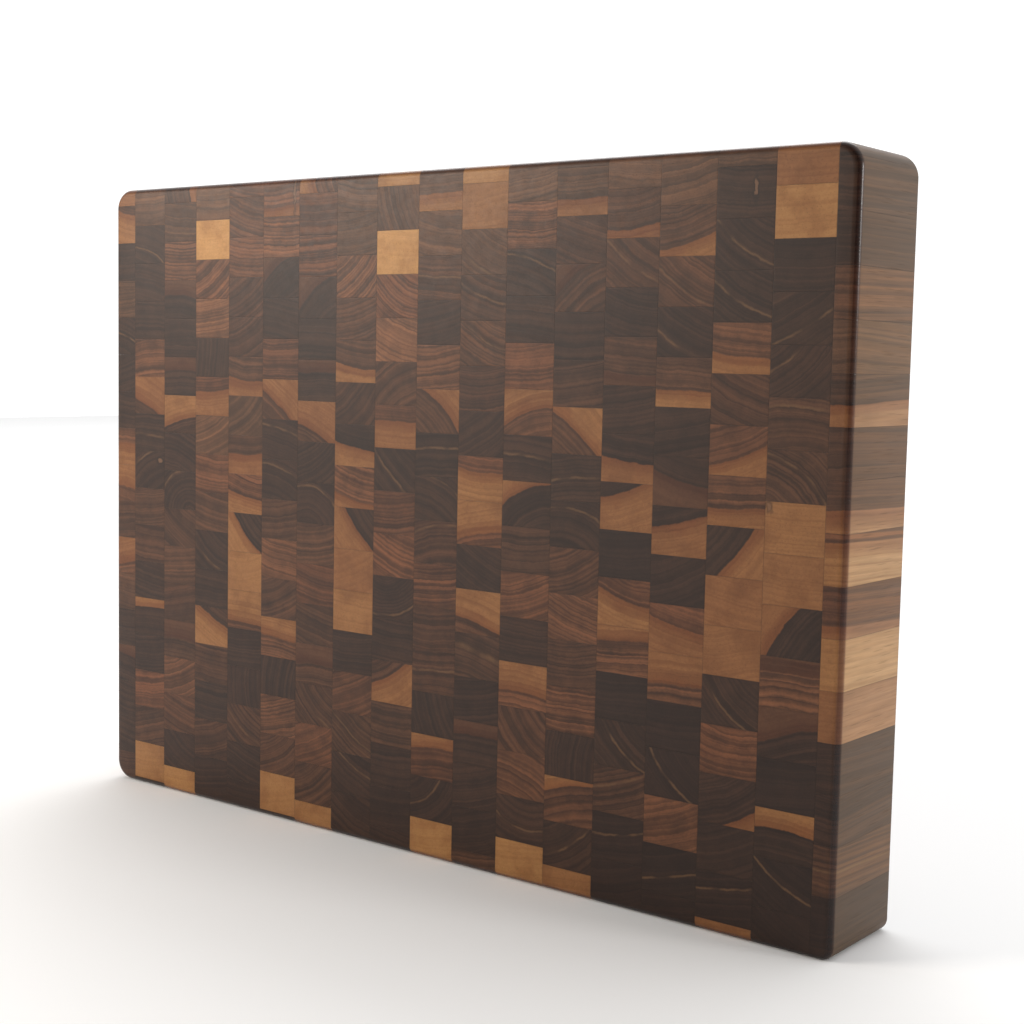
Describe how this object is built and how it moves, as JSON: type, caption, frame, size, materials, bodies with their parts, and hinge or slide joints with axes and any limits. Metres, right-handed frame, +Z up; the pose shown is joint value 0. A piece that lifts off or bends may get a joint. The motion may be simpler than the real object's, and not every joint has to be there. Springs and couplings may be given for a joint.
{
  "type": "end-grain cutting board",
  "caption": "Thick rectangular end-grain butcher-block cutting board of dark walnut with sapwood patches, rounded corners and softened edges.",
  "frame": {"origin": "middle of the lower long edge that the board stands on, at the middle of its thickness", "axes": "+X along the board's length, +Y from the cutting face to the back face, +Z up along the board's width as it stands on its long edge"},
  "size_m": [0.41, 0.05, 0.3],
  "materials": {
    "walnut_heartwood": "oiled satin end grain, dark brown heartwood with growth rings",
    "walnut_mixed": "oiled satin end grain, brown heartwood with wide tan sapwood patches"
  },
  "bodies": {
    "root": {"strip_01": "walnut_mixed", "strip_02": "walnut_heartwood", "strip_03": "walnut_heartwood", "strip_04": "walnut_heartwood", "strip_05": "walnut_mixed", "strip_06": "walnut_heartwood", "strip_07": "walnut_heartwood", "strip_08": "walnut_mixed", "strip_09": "walnut_heartwood", "strip_10": "walnut_heartwood", "strip_11": "walnut_heartwood", "strip_12": "walnut_heartwood", "strip_13": "walnut_heartwood", "strip_14": "walnut_heartwood", "strip_15": "walnut_mixed", "strip_16": "walnut_mixed", "strip_17": "walnut_mixed", "strip_18": "walnut_heartwood"}
  },
  "joints": []
}
